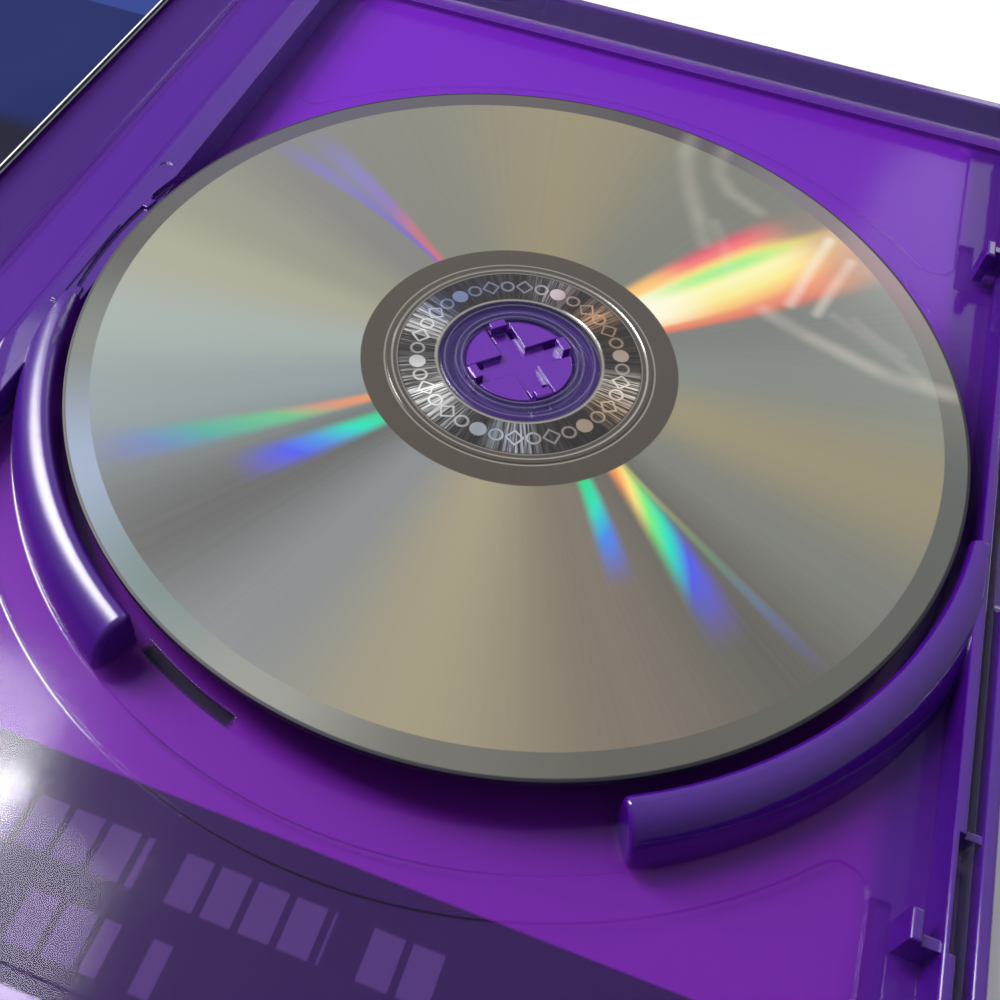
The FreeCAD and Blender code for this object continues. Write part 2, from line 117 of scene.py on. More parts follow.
class DiscSettings(PropertyGroup):
    """Optical disc, data side up."""

    radius: FloatProperty(name="Radius", description="Outer radius", unit="LENGTH", default=60 * MM)
    hole: FloatProperty(name="Hole", description="Radius of the centre hole", unit="LENGTH", default=7.5 * MM)
    clear_in: FloatProperty(name="Clear ring", description="Outer radius of the clear inner ring",
                            unit="LENGTH", default=11.0 * MM)
    data_in: FloatProperty(name="Data start", description="Inner radius of the data area", unit="LENGTH",
                           default=21.5 * MM)
    data_out: FloatProperty(name="Data end", description="Outer radius of the data area", unit="LENGTH",
                            default=56.6 * MM)
    metal_out: FloatProperty(name="Metal edge", description="Outer radius of the metal layer", unit="LENGTH",
                             default=59.5 * MM)
    steps: IntProperty(name="Steps", description="Segments around the disc", default=288, min=24)


class PaperSettings(PropertyGroup):
    """Booklet and insert."""

    field: FloatVectorProperty(name="Insert field", description="Ground colour inside the insert",
                               subtype="COLOR", size=4, min=0, max=1, default=shade(116, 24, 162))
    field_top: FloatVectorProperty(name="Insert top", description="Ground colour towards the insert's top",
                                   subtype="COLOR", size=4, min=0, max=1, default=shade(113, 27, 184))
    panel: FloatVectorProperty(name="Insert panel", description="Dark panel printed inside the insert",
                               subtype="COLOR", size=4, min=0, max=1, default=shade(5, 5, 14))
    outside: FloatVectorProperty(name="Insert outside", description="Main colour of the insert's outside",
                                 subtype="COLOR", size=4, min=0, max=1, default=shade(38, 36, 74))
    booklet: FloatVectorProperty(name="Booklet", description="Main colour of the booklet's cover",
                                 subtype="COLOR", size=4, min=0, max=1, default=shade(9, 10, 28))
    staple: FloatProperty(name="Staple", description="Length of a staple", unit="LENGTH", default=12 * MM)


class StageSettings(PropertyGroup):
    """Floor, light and camera."""

    floor: FloatVectorProperty(name="Floor", description="Colour of the floor", subtype="COLOR", size=4,
                               min=0, max=1, default=(0.90, 0.90, 0.90, 1.0))
    level: FloatProperty(name="Level light", description="Strength of the light from the sides",
                         default=0.45, min=0)
    above: FloatProperty(name="Light above", description="Strength of the light from above",
                         default=0.72, min=0)
    key: FloatProperty(name="Key light", description="Power of the large light on the left, behind the case",
                       subtype="POWER", default=3.2, min=0)
    window: FloatProperty(name="Window", description="Power of the large light behind the case",
                          subtype="POWER", default=0.56, min=0)
    side: FloatProperty(name="Side light", description="Power of the large light on the left",
                        subtype="POWER", default=1.9, min=0)
    low: FloatProperty(name="Low light", description="Power of the light in front of the side light",
                       subtype="POWER", default=0.28, min=0)
    spark: FloatProperty(name="Small light", description="Power of the small light on the left",
                         subtype="POWER", default=0.20, min=0)
    front: FloatProperty(name="Front light", description="Share of the room's light left in front",
                         subtype="FACTOR", default=0.10, min=0, max=1)
    lens: FloatProperty(name="Lens", description="Focal length in millimetres", default=41.01, min=1)


class CaseSettings(PropertyGroup):
    """Everything that a user would change."""

    moulding: PointerProperty(type=MouldingSettings)
    disc: PointerProperty(type=DiscSettings)
    paper: PointerProperty(type=PaperSettings)
    stage: PointerProperty(type=StageSettings)


class Value:
    """A socket that takes part in Python sums."""

    def __init__(self, finish, socket):
        self.finish = finish
        self.socket = socket

    def maths(self, operation, *others):
        made = self.finish.node("ShaderNodeMath", {"operation": operation}, dict(enumerate((self, *others))))
        return Value(self.finish, made.outputs[0])

    def swapped(self, operation, first):
        made = self.finish.node("ShaderNodeMath", {"operation": operation}, {0: first, 1: self})
        return Value(self.finish, made.outputs[0])

    def __add__(self, other):
        return self.maths("ADD", other)

    def __sub__(self, other):
        return self.maths("SUBTRACT", other)

    def __mul__(self, other):
        return self.maths("MULTIPLY", other)

    def __truediv__(self, other):
        return self.maths("DIVIDE", other)

    def __pow__(self, other):
        return self.maths("POWER", other)

    def __radd__(self, other):
        return self.swapped("ADD", other)

    def __rsub__(self, other):
        return self.swapped("SUBTRACT", other)

    def __rmul__(self, other):
        return self.swapped("MULTIPLY", other)

    def __rtruediv__(self, other):
        return self.swapped("DIVIDE", other)

    def __gt__(self, other):
        return self.maths("GREATER_THAN", other)

    def size(self):
        return self.maths("ABSOLUTE")

    def most(self, other):
        return self.maths("MAXIMUM", other)

    def least(self, other):
        return self.maths("MINIMUM", other)

    def rise(self, low, high):
        """0 below low, 1 above high, smooth between."""
        made = self.finish.node("ShaderNodeMapRange", {"interpolation_type": "SMOOTHSTEP"},
                                {"Value": self, "From Min": low, "From Max": high})
        return Value(self.finish, made.outputs[0])

    def part(self, low, high):
        """0 below low, 1 above high, straight between."""
        made = self.finish.node("ShaderNodeMapRange", None,
                                {"Value": self, "From Min": low, "From Max": high})
        return Value(self.finish, made.outputs[0])

    def band(self, low, high, soft):
        """1 between low and high, with soft borders."""
        return self.rise(low - soft, low + soft) * (1.0 - self.rise(high - soft, high + soft))

    def hump(self, centre, half):
        """1 at centre, falling smoothly to 0 at half a width away."""
        return 1.0 - ((self - centre) / half).size().rise(0.0, 1.0)


class Finish:
    """The nodes that a material, or the room's light, is made of."""

    def __init__(self, owner, last):
        owner.use_nodes = True
        self.material = owner
        self.tree = owner.node_tree
        self.surface = self.tree.nodes[last]

    def node(self, kind, settings=None, sockets=None):
        """Add a node, with its settings first and then the values or links of its sockets."""
        made = self.tree.nodes.new(kind)
        for key, setting in (settings or {}).items():
            if key == "stops":
                self.stops(made.color_ramp, setting)
            else:
                setattr(made, key, setting)
        for key, value in (sockets or {}).items():
            self.feed(made.inputs[key], value)
        return made

    def stops(self, ramp, stops):
        """Give a colour ramp its stops."""
        while len(ramp.elements) < len(stops):
            ramp.elements.new(1.0)
        for element, (place, colour) in zip(ramp.elements, stops):
            element.position = place
            element.color = colour

    def feed(self, socket, value):
        """Link a value to a socket, or set the socket to a plain number or colour."""
        if isinstance(value, Value):
            self.tree.links.new(value.socket, socket)
        else:
            socket.default_value = value

    def put(self, **sockets):
        """Feed the last node's own sockets, named with underscores for spaces."""
        for key, value in sockets.items():
            self.feed(self.surface.inputs[key.replace("_", " ")], value)

    def place(self, origin=(0, 0, 0)):
        """Object coordinates in millimetres from an origin, as three values."""
        where = self.node("ShaderNodeTexCoord").outputs["Object"]
        moved = self.node("ShaderNodeMapping", {"vector_type": "POINT"},
                          {"Vector": Value(self, where), "Location": [-part / MM for part in origin],
                           "Scale": (1 / MM, 1 / MM, 1 / MM)})
        return Value(self, moved.outputs[0])

    def axes(self, vector):
        """The three numbers of a vector."""
        split = self.node("ShaderNodeSeparateXYZ", None, {0: vector})
        return [Value(self, socket) for socket in split.outputs]

    def joined(self, x, y, z):
        """A vector of three numbers."""
        return Value(self, self.node("ShaderNodeCombineXYZ", None, {0: x, 1: y, 2: z}).outputs[0])

    def noise(self, vector, scale, detail=2.0, roughness=0.5):
        """Soft noise from 0 to 1."""
        made = self.node("ShaderNodeTexNoise", None, {"Vector": vector, "Scale": scale, "Detail": detail,
                                                      "Roughness": roughness})
        return Value(self, made.outputs[0])

    def ramp(self, share, stops, blend="LINEAR"):
        """Colour along a ramp."""
        made = self.node("ShaderNodeValToRGB", {"stops": stops}, {0: share})
        made.color_ramp.interpolation = blend
        return Value(self, made.outputs[0])

    def mix(self, share, first, second):
        """One colour blended over another."""
        made = self.node("ShaderNodeMix", {"data_type": "RGBA"}, {0: share, 6: first, 7: second})
        return Value(self, made.outputs[2])

    def vectors(self, operation, first, second, result=0):
        """Sum or product of two vectors, or the number that comes of them with result 1."""
        made = self.node("ShaderNodeVectorMath", {"operation": operation}, {0: first, 1: second})
        return Value(self, made.outputs[result])

    def from_line(self, spot, start, end):
        """Distance from a straight line between two points on a flat place."""
        run = Vector((*end, 0)) - Vector((*start, 0))
        away = self.vectors("SUBTRACT", spot, (*start, 0))
        along = self.vectors("DOT_PRODUCT", away, run / run.length_squared, 1).part(0.0, 1.0)
        foot = self.vectors("MULTIPLY", self.joined(along, along, along), run)
        return self.vectors("DISTANCE", away, foot, 1)

    def specks(self, vector, scale, radius, least):
        """Tiny round specks, one in a few cells of a grid."""
        cell = self.node("ShaderNodeTexVoronoi", {"feature": "F1"}, {"Vector": vector, "Scale": scale})
        lot = self.node("ShaderNodeSeparateColor", None, {0: Value(self, cell.outputs["Color"])})
        near = 1.0 - Value(self, cell.outputs["Distance"]).rise(radius * 0.6, radius)
        return near * (Value(self, lot.outputs[0]) > least)

    def bump(self, height, strength, distance, under=None):
        """Surface direction over a height."""
        sockets = {"Height": height, "Strength": strength, "Distance": distance}
        if under is not None:
            sockets["Normal"] = under
        return Value(self, self.node("ShaderNodeBump", None, sockets).outputs[0])

    def rounded(self, radius):
        """Surface direction with rounded edges."""
        return Value(self, self.node("ShaderNodeBevel", {"samples": 6}, {"Radius": radius}).outputs[0])


def surface_finish(name):
    """New material to be filled with nodes."""
    return Finish(bpy.data.materials.new(name), "Principled BSDF")


# Places on the tray: radii from the disc's centre and heights in millimetres, turns round it in degrees.
BUMPER_REACH, BUMPER_TURN = (60.6, 68.4), (-166.0, -100.0)
HUB_REACH = (16.0, 17.0)
SLOT_REACH, SLOT_TURN, SLOT_HEIGHT = (60.0, 61.8), (-118.5, -102.5), (0.50, 0.94)
# Highlights painted as pale lines along the floor's step edges: radius and the turns they run between.
STEP_HIGHLIGHTS = [(67.7, (-172.0, -124.0)), (72.3, (-172.0, -114.0))]
# Shade painted as a dark line along the step at the bumper's outer foot: radius and turns.
STEP_SHADE_REACH, STEP_SHADE_TURN = 67.5, (-114.0, -74.0)
FLOOR_TOP = (0.9, 1.5)
WALL_FOOT = (1.9, 2.6)
UNDERSIDE = (0.32, 0.45)


def case_plastic(settings):
    """Translucent purple polypropylene with a smooth moulded skin, slight waves and a few dust specks;
    highlights on the step edges, a shade line along one step and the slot's shadow are painted.
    """
    finish = surface_finish("case_plastic")
    spot = finish.place()
    x, y, height = finish.axes(spot)
    cloud = finish.noise(spot, 0.035, 3.0)
    grain = finish.noise(spot, 2.2, 3.0, 0.6)
    wave = finish.noise(spot, 0.07, 1.0)
    wide = x - DISC_CENTRE.x / MM
    deep = y - DISC_CENTRE.y / MM
    reach = (wide * wide + deep * deep) ** 0.5
    turn = deep.maths("ARCTAN2", wide) * (180 / math.pi)
    bumper = height.rise(2.0, 4.0) * reach.band(*BUMPER_REACH, 0.3) * turn.band(*BUMPER_TURN, 3.0)
    hub = 1.0 - reach.rise(*HUB_REACH)
    # Over the slot's floor the skin is cleared, so that the shadow painted on the paper below shows through.
    groove = height.band(*SLOT_HEIGHT, 0.05) * reach.band(*SLOT_REACH, 0.1) * turn.band(*SLOT_TURN, 0.5)
    floor = height.band(*FLOOR_TOP, 0.1)
    first, second = (reach.hump(radius, 0.30) * turn.band(*ends, 8.0) for radius, ends in STEP_HIGHLIGHTS)
    steps = first.most(second) * floor
    step_shade = reach.hump(STEP_SHADE_REACH, 0.35) * turn.band(*STEP_SHADE_TURN, 6.0) * floor
    depth = 0.55 * height.rise(1.8, 2.6) * (1.0 - hub)
    tone = finish.mix(0.15 + 0.25 * cloud + depth, settings.colour, settings.deep)
    tone = finish.mix(finish.specks(spot, 0.16, 0.022, 0.75) * 0.7, tone, shade(215, 205, 232))
    # Pale highlights painted along the step edges, made more opaque so that they show.
    tone = finish.mix(steps * 0.85, tone, shade(226, 220, 240))
    # Dark line painted along that step as its shade.
    tone = finish.mix(step_shade, tone, shade(44, 10, 84))
    past_ends = y.size().rise(INSERT_HIGH.y - 2.1, INSERT_HIGH.y - 1.5)
    past_edges = x.size().rise(INSERT_HIGH.x - 1.5, INSERT_HIGH.x - 0.9)
    thick = height.rise(*WALL_FOOT).most(past_ends.most(past_edges))
    skin = settings.floor + (settings.walls - settings.floor) * thick
    skin = height.rise(*UNDERSIDE) * skin * (1.0 - 0.9 * groove)
    finish.put(Base_Color=tone, Roughness=0.08 + 0.05 * grain + 0.20 * bumper.most(0.4 * hub),
               Alpha=skin.most(steps * 0.85).most(step_shade * 0.5), IOR=1.6, Specular_IOR_Level=0.8)
    finish.put(Normal=finish.bump(wave, 0.35, 0.35 * MM, finish.rounded(settings.edge)))
    return finish.material


def disc_finish(settings):
    """Data side of a disc: its clear rim painted dark as the shade seen through it, clear hub ring, mirror
    bands with painted reflections and glints, and a data area whose split light is painted in.
    """
    finish = surface_finish("disc_data_side")
    spot = finish.place(DISC_CENTRE)
    x, y = finish.axes(spot)[:2]
    reach = (x * x + y * y) ** 0.5
    turn = y.maths("ARCTAN2", x) * (180 / math.pi)
    radial_sheen = finish.noise(finish.joined(turn * 0.9, 0.0, 0.0), 1.0, 3.0, 0.7)
    grain = finish.noise(spot, 5.0, 2.0)
    data = reach.rise(settings.data_in / MM - 0.1, settings.data_in / MM + 0.1)
    outer = reach.rise(settings.data_out / MM - 0.08, settings.data_out / MM + 0.08)
    rim = reach.rise(settings.metal_out / MM - 0.1, settings.metal_out / MM + 0.1)
    clear = 1.0 - reach.rise(settings.clear_in / MM - 0.15, settings.clear_in / MM + 0.15)

    tone = round_ramp(finish, turn, REFLECTION_SECTORS)
    # Pale radial streaks of painted sheen over the data area.
    tone = finish.mix(0.16 * radial_sheen, tone, shade(190, 188, 180))
    tone = finish.mix(0.18 * grain, tone, shade(76, 74, 70))
    for streak in RAINBOW_HIGHLIGHTS:
        tone = lay_rainbow_highlight(finish, tone, reach, turn, streak)
    tone = lay_fan_highlight(finish, tone, reach, turn)
    tone = finish.mix(outer, tone, round_ramp(finish, turn, RIM_REFLECTION_SECTORS))
    tone = lay_smears(finish, tone, finish.joined(x, y, 0.0))
    ring, glint = hub_ring(finish, reach, turn, radial_sheen)
    tone = finish.mix(data, ring, tone)
    # The clear rim painted dark, as the shade under the disc's edge.
    tone = finish.mix(rim, tone, shade(18, 11, 28))
    inside = shade(54, 42, 100)
    # Pale circles painted on the clear ring as highlights on its moulded rings.
    for radius in (7.9, 8.7, 10.2):
        inside = finish.mix(reach.hump(radius, 0.20) * 0.5, inside, shade(176, 168, 206))
    tone = finish.mix(clear, tone, inside)
    metal = (1.0 - clear) * (1.0 - rim) * (0.34 - 0.30 * glint * (1.0 - data))
    finish.put(Base_Color=tone, Metallic=metal, Roughness=0.15 + 0.05 * grain + 0.35 * rim,
               Alpha=1.0 - 0.62 * clear, Coat_Weight=0.15 * (1.0 - rim), Coat_Roughness=0.05, IOR=1.55)
    return finish.material


# Painted reflection tones round the data area and round the bare band outside it, lighter or darker with angle
# as the disc mirrors the room and the lamps: angle in degrees and screen colour.
REFLECTION_SECTORS = [
    (-180, (172, 170, 148)), (-165, (167, 178, 171)), (-150, (147, 160, 162)), (-125, (98, 98, 98)),
    (-108, (136, 141, 143)), (-85, (169, 158, 127)), (-60, (128, 116, 101)), (-38, (96, 92, 85)),
    (-22, (125, 127, 119)), (-3, (158, 148, 114)), (18, (131, 138, 131)), (32, (123, 126, 121)),
    (70, (125, 127, 116)), (98, (155, 143, 111)), (130, (132, 132, 121)), (150, (131, 130, 125)),
    (168, (152, 152, 134)), (180, (172, 170, 148)),
]
RIM_REFLECTION_SECTORS = [
    (-180, (98, 96, 94)), (-160, (130, 135, 128)), (-140, (156, 168, 190)), (-120, (122, 138, 136)),
    (-100, (156, 156, 148)), (-82, (118, 116, 108)), (-60, (102, 100, 92)), (-30, (102, 102, 95)),
    (0, (99, 102, 98)), (22, (121, 119, 112)), (42, (134, 110, 114)), (60, (128, 122, 126)),
    (84, (86, 79, 84)), (105, (96, 91, 91)), (140, (95, 92, 106)), (180, (98, 96, 94)),
]


def round_ramp(finish, turn, sectors):
    """Colour around the disc from tones at a few angles."""
    stops = [((angle + 180) / 360, shade(*tone)) for angle, tone in sectors]
    return finish.ramp(turn / 360 + 0.5, stops, "EASE")


RED, ORANGE, YELLOW, GREEN = (240, 96, 112), (248, 158, 92), (252, 228, 132), (120, 240, 130)
TEAL, BLUE, VIOLET = (40, 226, 190), (84, 96, 240), (118, 92, 224)
# Painted rainbow highlights where the data area splits the lamps' light: radii of the two ends, angles and
# half widths there, strength, lean of the colours, and the colours from the inside out.
RAINBOW_HIGHLIGHTS = [
    {"ends": (20.5, 60.0), "angles": (140.0, 144.0), "halves": (2.6, 4.0), "strength": 0.55, "lean": 0.05,
     "colours": [(0.0, RED), (0.22, (222, 110, 146)), (0.38, (150, 112, 214)), (0.62, (136, 128, 212)),
                 (1.0, (122, 116, 222))]},
    {"ends": (28.0, 60.0), "angles": (143.0, 150.5), "halves": (1.6, 3.4), "strength": 0.55, "lean": 0.0,
     "colours": [(0.0, VIOLET), (0.5, (130, 124, 206)), (1.0, (114, 110, 220))]},
    {"ends": (20.5, 60.5), "angles": (-138.0, -141.5), "halves": (3.0, 4.6), "strength": 0.85, "lean": 0.10,
     "colours": [(0.0, ORANGE), (0.14, (226, 150, 120)), (0.30, (112, 200, 140)), (0.55, (84, 178, 160)),
                 (0.75, (104, 132, 206)), (1.0, VIOLET)]},
    {"ends": (20.5, 43.0), "angles": (-128.0, -130.5), "halves": (5.0, 5.0), "strength": 0.95, "lean": 0.12,
     "colours": [(0.0, (60, 214, 150)), (0.2, TEAL), (0.42, (84, 150, 230)), (0.6, BLUE), (1.0, VIOLET)]},
    {"ends": (20.5, 38.0), "angles": (-50.0, -53.5), "halves": (4.0, 4.0), "strength": 0.95, "lean": 0.10,
     "colours": [(0.0, (40, 220, 120)), (0.3, TEAL), (0.55, (70, 140, 236)), (1.0, VIOLET)]},
    {"ends": (20.5, 50.0), "angles": (-37.5, -42.5), "halves": (5.0, 4.4), "strength": 1.0, "lean": 0.22,
     "colours": [(0.0, ORANGE), (0.14, YELLOW), (0.28, GREEN), (0.44, TEAL), (0.62, BLUE), (1.0, VIOLET)]},
    {"ends": (24.0, 59.0), "angles": (-35.0, -34.5), "halves": (1.2, 1.6), "strength": 0.45, "lean": 0.0,
     "colours": [(0.0, (200, 190, 110)), (0.4, (120, 170, 130)), (0.7, (110, 130, 200)), (1.0, VIOLET)]},
]


def lay_rainbow_highlight(finish, tone, reach, turn, streak):
    """One narrow painted rainbow highlight over the disc's tone."""
    start, end = streak["ends"]
    along = (reach - start) / (end - start)
    angle_in, angle_out = streak["angles"]
    half_in, half_out = streak["halves"]
    side = (turn - (angle_in + (angle_out - angle_in) * along)) / (half_in + (half_out - half_in) * along)
    stops = [(place, shade(*part)) for place, part in streak["colours"]]
    colour = finish.ramp(along + side * streak["lean"], stops)
    share = (1.0 - side.size().rise(0.15, 1.0)) * (1.0 - along.rise(0.55, 1.0))
    return finish.mix(share * streak["strength"], tone, colour)


# Colours across the wide painted rainbow highlight, from its lower border to its upper one.
FAN_HIGHLIGHT = [
    (0.0, (170, 118, 104)), (0.12, (218, 126, 106)), (0.24, (240, 150, 114)), (0.333, (250, 196, 122)),
    (0.42, (253, 238, 150)), (0.52, (254, 248, 186)), (0.60, (246, 247, 150)), (0.655, (238, 238, 116)),
    (0.70, (250, 212, 130)), (0.78, (246, 134, 122)), (0.88, (238, 92, 118)), (1.0, (196, 96, 108)),
]


def lay_fan_highlight(finish, tone, reach, turn):
    """Wide painted rainbow highlight: reddish below, yellow in a middle that narrows outwards, and a short red
    above.
    """
    out = reach - 22.0
    bottom = 34.5 + 0.06 * out
    low = 40.0 + 0.0066 * out * out
    middle = 56.0 - 0.14 * out
    top = 64.5 - 0.16 * out
    step = turn.part(bottom, low) + turn.part(low, middle) + turn.part(middle, top)
    colour = finish.ramp(step / 3.0, [(place, shade(*part)) for place, part in FAN_HIGHLIGHT])
    white = 0.75 * step.band(1.0, 2.2, 0.3) * (1.0 - reach.rise(21.0, 33.0))
    green = 0.8 * step.hump(1.86, 0.26) * reach.band(27.0, 46.0, 8.0)
    orange = 0.6 * reach.rise(42.0, 56.0)
    upper = step.rise(1.9, 2.2)
    yellow = 0.8 * upper * (1.0 - reach.rise(24.0, 34.0))
    for layer, part in ((white, (255, 252, 238)), (green, (146, 240, 150)), (orange, (240, 168, 116)),
                        (yellow, (252, 210, 116))):
        colour = finish.mix(layer, colour, shade(*part))
    share = step.rise(0.0, 0.45) * (1.0 - step.rise(2.45, 3.0))
    share = share * (1.0 - 0.85 * upper * reach.rise(42.0, 54.0))
    share = share * (1.0 - 0.35 * (1.0 - step.rise(0.6, 1.1)) * reach.rise(44.0, 56.0))
    share = share * (1.0 - 0.45 * reach.rise(47.0, 56.0))
    return finish.mix(share, tone, colour)


# Wiping marks: half width, strength and the points that each runs through, from the disc's centre.
SMEARS = [
    (2.4, 0.17, [(10.9, 58.0), (10.9, 53.0), (12.4, 47.3), (16.0, 39.1), (18.4, 33.5)]),
    (1.7, 0.12, [(18.8, 38.5), (21.5, 33.0), (24.4, 26.1)]),
    (2.2, 0.16, [(16.7, 57.0), (16.4, 53.5), (17.3, 49.9), (19.8, 46.3), (24.6, 43.8)]),
    (1.5, 0.50, [(35.9, 41.6), (34.1, 33.8), (32.6, 25.5)]),
    (1.4, 0.36, [(39.6, 38.0), (38.3, 32.8), (36.5, 25.0)]),
    (2.2, 0.26, [(29.5, 22.6), (35.6, 20.1), (41.5, 18.5), (48.2, 16.7), (56.3, 16.6)]),
    (1.6, 0.10, [(39.0, 25.5), (42.6, 23.8), (47.4, 21.0), (52.5, 17.8)]),
    (1.2, 0.09, [(41.8, 26.0), (45.7, 23.4), (49.0, 21.6)]),
]


def lay_smears(finish, tone, flat):
    """Faint pale wiping marks over the disc's tone."""
    uneven = 0.60 + 0.40 * finish.noise(flat, 0.16, 1.0).rise(0.25, 0.70)
    for half, strength, points in SMEARS:
        away = 99.0
        for start, end in zip(points, points[1:]):
            away = finish.from_line(flat, start, end).least(away)
        tone = finish.mix(away.hump(0.0, half) * uneven * strength, tone, shade(246, 236, 220))
    return tone


# Brightness and tint of the glints round the hub ring: angle in degrees and grey or screen colour.
RING_LIGHT = [
    (-180, 215), (-164, 70), (-150, 150), (-132, 255), (-112, 170), (-96, 40), (-74, 190), (-58, 60),
    (-30, 40), (-14, 190), (2, 235), (16, 60), (44, 60), (58, 190), (72, 60), (90, 170), (104, 70), (150, 60),
    (168, 210), (180, 215),
]
RING_TINTS = [
    (-180, (255, 255, 255)), (-130, (255, 255, 252)), (-80, (226, 238, 255)), (-20, (250, 214, 176)),
    (5, (255, 246, 232)), (56, (252, 196, 150)), (90, (240, 224, 236)), (150, (170, 190, 250)),
    (180, (255, 255, 255)),
]
# Fine bright circles painted round the hub as highlights on its ring steps: radius, half width and strength.
RING_HIGHLIGHT_LINES = [(11.3, 0.30, 0.5), (16.6, 0.16, 0.35), (17.3, 0.24, 0.6), (18.3, 0.20, 0.45)]


def hub_ring(finish, reach, turn, radial_sheen):
    """Mirror ring round the hub with a row of small plain shapes, and how brightly each spot of it glints."""
    middle, half, cells, discs = 13.9, 2.5, 36, 6
    out = reach - middle
    cell = turn * (cells / 360)
    across = (cell.maths("FRACT") - 0.5) * (2 * math.pi * middle / cells)
    wide = (((turn + 5.0) * (discs / 360)).maths("FRACT") - 0.5) * (2 * math.pi * middle / discs)
    odd = (cell * 0.5).maths("FRACT") > 0.5
    circle = ((across * across + out * out) ** 0.5).hump(0.86, 0.30)
    diamond = (across.size() + out.size()).hump(1.16, 0.36)
    from_disc = (wide * wide + out * out) ** 0.5
    mark = (circle * odd + diamond * (1.0 - odd)) * from_disc.rise(1.28, 1.34)
    solid = 1.0 - from_disc.rise(1.05, 1.2)
    greys = [(angle, (step, step, step)) for angle, step in RING_LIGHT]
    light = finish.axes(round_ramp(finish, turn, greys))[0]
    fine = finish.noise(finish.joined(turn * 0.8, reach * 0.10, 0.0), 1.0, 3.0, 0.7).rise(0.40, 0.68)
    glint = fine * light * out.band(-half, half, 0.2)
    glint = glint.most((mark * 0.85).most(solid) * (0.30 + 0.70 * light))
    # The ring's base, lighter along the painted radial sheen.
    plain = finish.mix(radial_sheen * 0.5, shade(76, 70, 63), shade(106, 98, 90))
    # Painted reflection: the mirror ring darker where it glints less, then the painted glints in their tints.
    tone = finish.mix(out.band(-half, half + 0.2, 0.2) * (1.0 - 0.6 * light), plain, shade(40, 37, 37))
    tone = finish.mix(glint, tone, round_ramp(finish, turn, RING_TINTS))
    for radius, width, share in RING_HIGHLIGHT_LINES:
        tone = finish.mix(reach.hump(radius, width) * share, tone, shade(200, 194, 188))
    return tone, glint


def booklet_finish(settings):
    """Coated dark cover of the booklet, with a blue field, plain bands and white cut edges."""
    finish = surface_finish("booklet_cover")
    spot = finish.place()
    x, y = finish.axes(spot)[:2]
    tone = finish.mix(y.rise(23.0, 29.0), settings.booklet, shade(16, 26, 78))
    tone = finish.mix(y.band(62.0, 74.0, 0.2), tone, shade(36, 54, 116))
    tone = finish.mix(y.band(-70.0, -60.0, 0.2), tone, shade(90, 70, 150))
    cloud = finish.noise(spot, 0.05, 2.0)
    tone = finish.mix(0.06 * cloud, tone, shade(120, 124, 160))
    edge = BOOKLET_HIGH.x / MM
    tone = finish.mix(x.rise(edge - 0.30, edge - 0.22), tone, shade(238, 238, 240))
    finish.put(Base_Color=tone, Roughness=0.55 + 0.08 * cloud, Specular_IOR_Level=0.06)
    return finish.material


def page_finish():
    """Edges of the booklet's pages: thin lines of white paper and dark print."""
    finish = surface_finish("booklet_pages")
    spot = finish.place()
    height = finish.axes(spot)[2]
    sheet = (height * 9.0).maths("FRACT")
    wobble = finish.noise(spot, 0.15, 2.0)
    lines = (sheet + 0.3 * wobble).band(0.45, 0.65, 0.10)
    tone = finish.mix(lines * wobble, shade(30, 29, 44), shade(200, 198, 200))
    finish.put(Base_Color=tone, Roughness=0.7, Normal=finish.bump(lines, 0.4, 0.05 * MM))
    return finish.material


# Rows of bars on the insert's panel, in millimetres: lower and upper edge, right end, and the pitch, offset
# and share of gap of the longer pieces that the row is broken into.
BAR_ROWS = [(-77.0, -71.5, 90.0, 21.0, 4.0, 0.09), (-86.0, -80.5, 64.0, 15.0, 0.0, 0.12)]
BARS_LEFT = 13.0
BAR_PITCH = 4.3
# Shadow of the tray's finger slot, painted as a dark arc on the insert: radii in millimetres and turns in
# radians.
SLOT_SHADE_REACH, SLOT_SHADE_TURN = (59.9, 61.6), (-2.05, -1.81)
# Ring on the insert's outside: distance of its centre from the spine and from the middle, in millimetres.
RING_X, RING_Y = 73.0, -4.0


